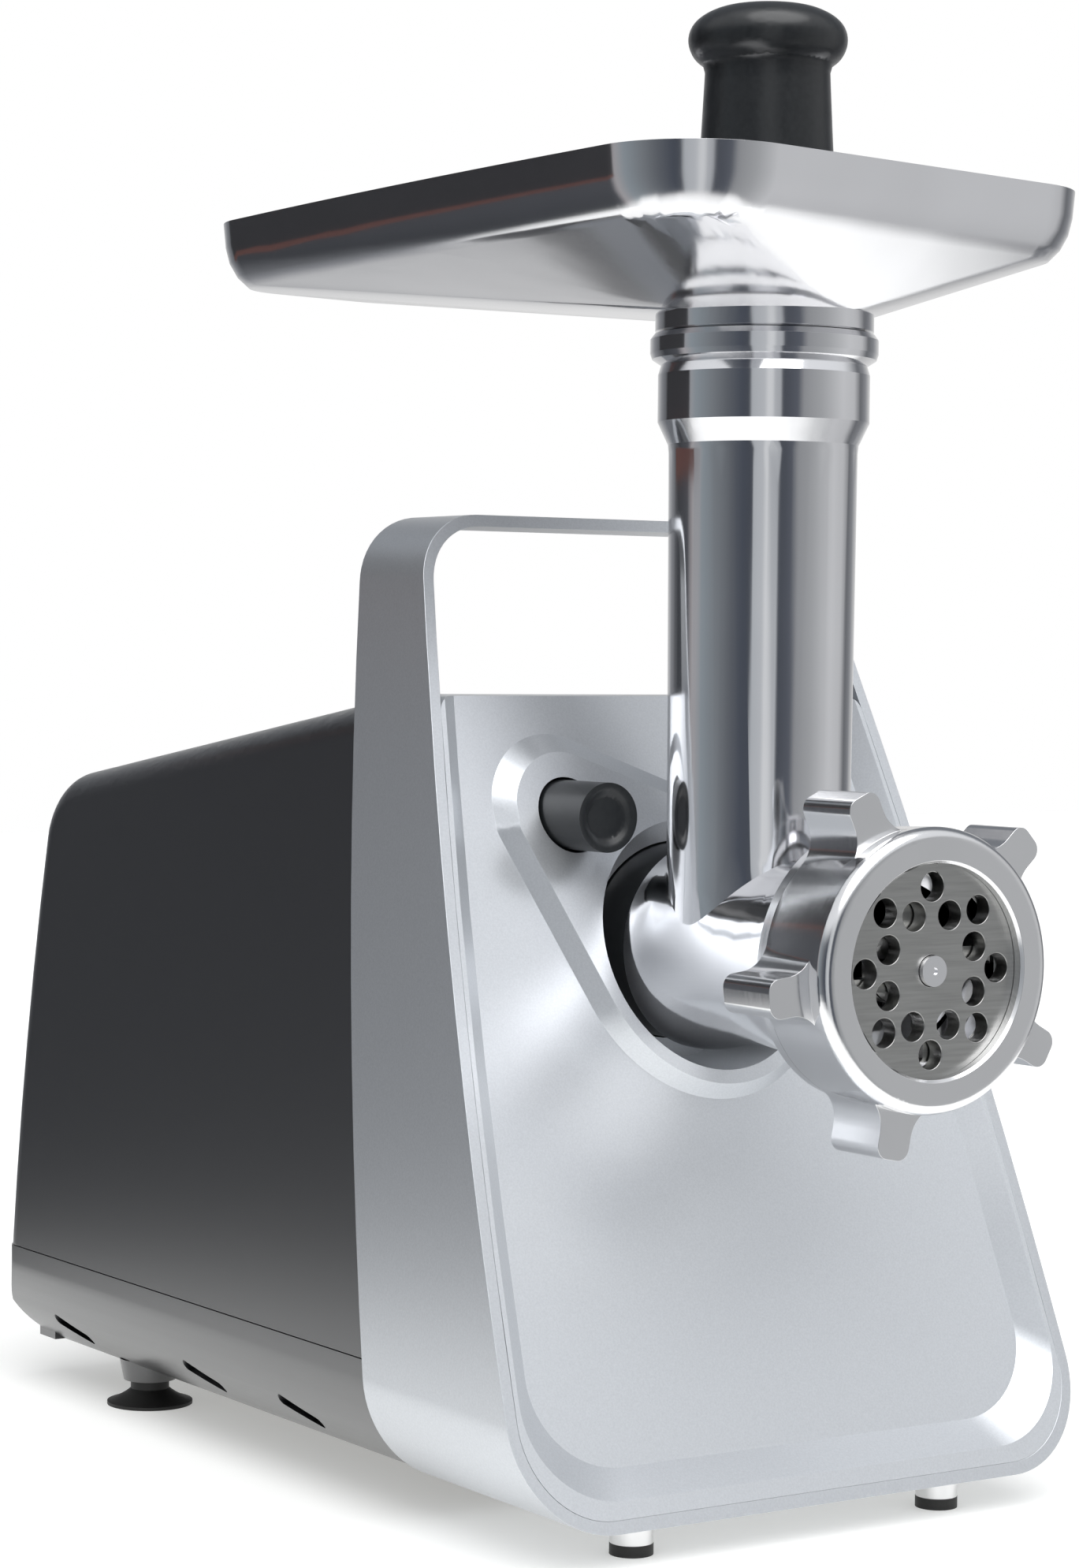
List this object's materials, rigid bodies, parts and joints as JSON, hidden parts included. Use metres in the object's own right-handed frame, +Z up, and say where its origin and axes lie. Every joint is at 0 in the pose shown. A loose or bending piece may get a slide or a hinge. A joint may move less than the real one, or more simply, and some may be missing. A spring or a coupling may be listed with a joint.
{
  "type": "electric meat grinder",
  "caption": "Electric meat grinder: tapered motor body in a metal carry loop, cast grinding head with feed tube, lugged ring nut, perforated plate, tray and pusher.",
  "frame": {"origin": "centre of the bounding box, on the surface the feet stand on", "axes": "+Z up, -Y the way the grinding head points (the front), +X to the right seen from the front"},
  "size_m": [0.1702, 0.326, 0.3706],
  "materials": {
    "satin_loop": "satin",
    "silver_panel": "satin",
    "black_plastic": "satin",
    "dark_knob": "satin",
    "polished_aluminium": "polished",
    "ground_steel": "brushed",
    "plated_steel": "polished",
    "foot_metal": "satin",
    "rubber": "matte",
    "bronze": "satin",
    "copper": "satin",
    "nylon": "matte",
    "steel_gear": "satin",
    "lamination": "matte",
    "carbon": "matte",
    "board_green": "matte"
  },
  "bodies": {
    "base": {"front_frame": "satin_loop", "front_panel": "silver_panel", "main_housing": "black_plastic", "base_cover": "black_plastic", "base_screws": "plated_steel", "front_feet": "foot_metal", "front_foot_pads": "rubber", "suction_cups": "rubber", "head_socket": "black_plastic", "socket_screws": "plated_steel", "button_spring": "plated_steel", "gearbox_case": "nylon", "gearbox_cover": "nylon", "gearbox_screws": "plated_steel", "gear_axles": "steel_gear", "shaft_bushing": "bronze", "stator_core": "lamination", "field_coils": "copper", "motor_bearings": "bronze", "motor_bracket": "foot_metal", "motor_bolts": "plated_steel", "brush_holders": "bronze", "carbon_brushes": "carbon", "switch_body": "black_plastic", "circuit_board": "board_green", "board_screws": "plated_steel", "cord_gland": "rubber"},
    "motor": {"rotor_core": "lamination", "rotor_windings": "copper", "rotor_shaft": "steel_gear", "commutator": "copper", "cooling_fan": "black_plastic", "motor_pinion": "steel_gear"},
    "first_wheel": {"first_gear": "nylon"},
    "second_wheel": {"second_gear": "nylon"},
    "drive": {"output_gear": "nylon", "output_shaft": "steel_gear", "auger": "polished_aluminium", "knife": "ground_steel"},
    "head": {"head_body": "polished_aluminium", "head_bushing": "bronze", "auger_washer": "nylon", "cutting_plate": "ground_steel"},
    "ring": {"ring_nut": "polished_aluminium"},
    "tray": {"feed_tray": "polished_aluminium"},
    "pusher": {"pusher": "dark_knob"},
    "button": {"lock_button": "dark_knob"},
    "switch": {"rocker": "dark_knob"}
  },
  "joints": [
    {"name": "motor_spin", "type": "hinge", "parent": "base", "child": "motor", "pos_m": [0, 0, 0.11919], "axis": [0, 1, 0], "continuous": true},
    {"name": "first_wheel_spin", "type": "hinge", "parent": "base", "child": "first_wheel", "pos_m": [0.008, 0, 0.08872], "axis": [0, 1, 0], "continuous": true},
    {"name": "second_wheel_spin", "type": "hinge", "parent": "base", "child": "second_wheel", "pos_m": [-0.022, 0, 0.10551], "axis": [0, 1, 0], "continuous": true},
    {"name": "auger_spin", "type": "hinge", "parent": "base", "child": "drive", "pos_m": [0, 0, 0.1404], "axis": [0, 1, 0], "continuous": true},
    {"name": "head_turn", "type": "hinge", "parent": "base", "child": "head", "pos_m": [0, 0, 0.1404], "axis": [0, 1, 0], "range_deg": [0, 30]},
    {"name": "ring_turn", "type": "hinge", "parent": "head", "child": "ring", "pos_m": [0, 0, 0.1404], "axis": [0, 1, 0], "range_deg": [-90, 0]},
    {"name": "tray_lift", "type": "slide", "parent": "head", "child": "tray", "axis": [0, 0, 1], "range_m": [0, 0.08]},
    {"name": "pusher_lift", "type": "slide", "parent": "head", "child": "pusher", "axis": [0, 0, 1], "range_m": [0, 0.12]},
    {"name": "button_press", "type": "slide", "parent": "base", "child": "button", "axis": [0, 1, 0], "range_m": [0, 0.0045], "stiffness_N_per_m": 800, "springref_m": -0.003, "deforming": ["button_spring"]},
    {"name": "switch_rock", "type": "hinge", "parent": "base", "child": "switch", "pos_m": [0.0795, 0.07, 0.074], "axis": [0, 1, 0], "range_deg": [-8, 8]}
  ],
  "couplings": [
    {"joint": "first_wheel_spin", "follows": "motor_spin", "ratio": -0.16667},
    {"joint": "second_wheel_spin", "follows": "motor_spin", "ratio": 0.037037},
    {"joint": "auger_spin", "follows": "motor_spin", "ratio": -0.0092593}
  ]
}
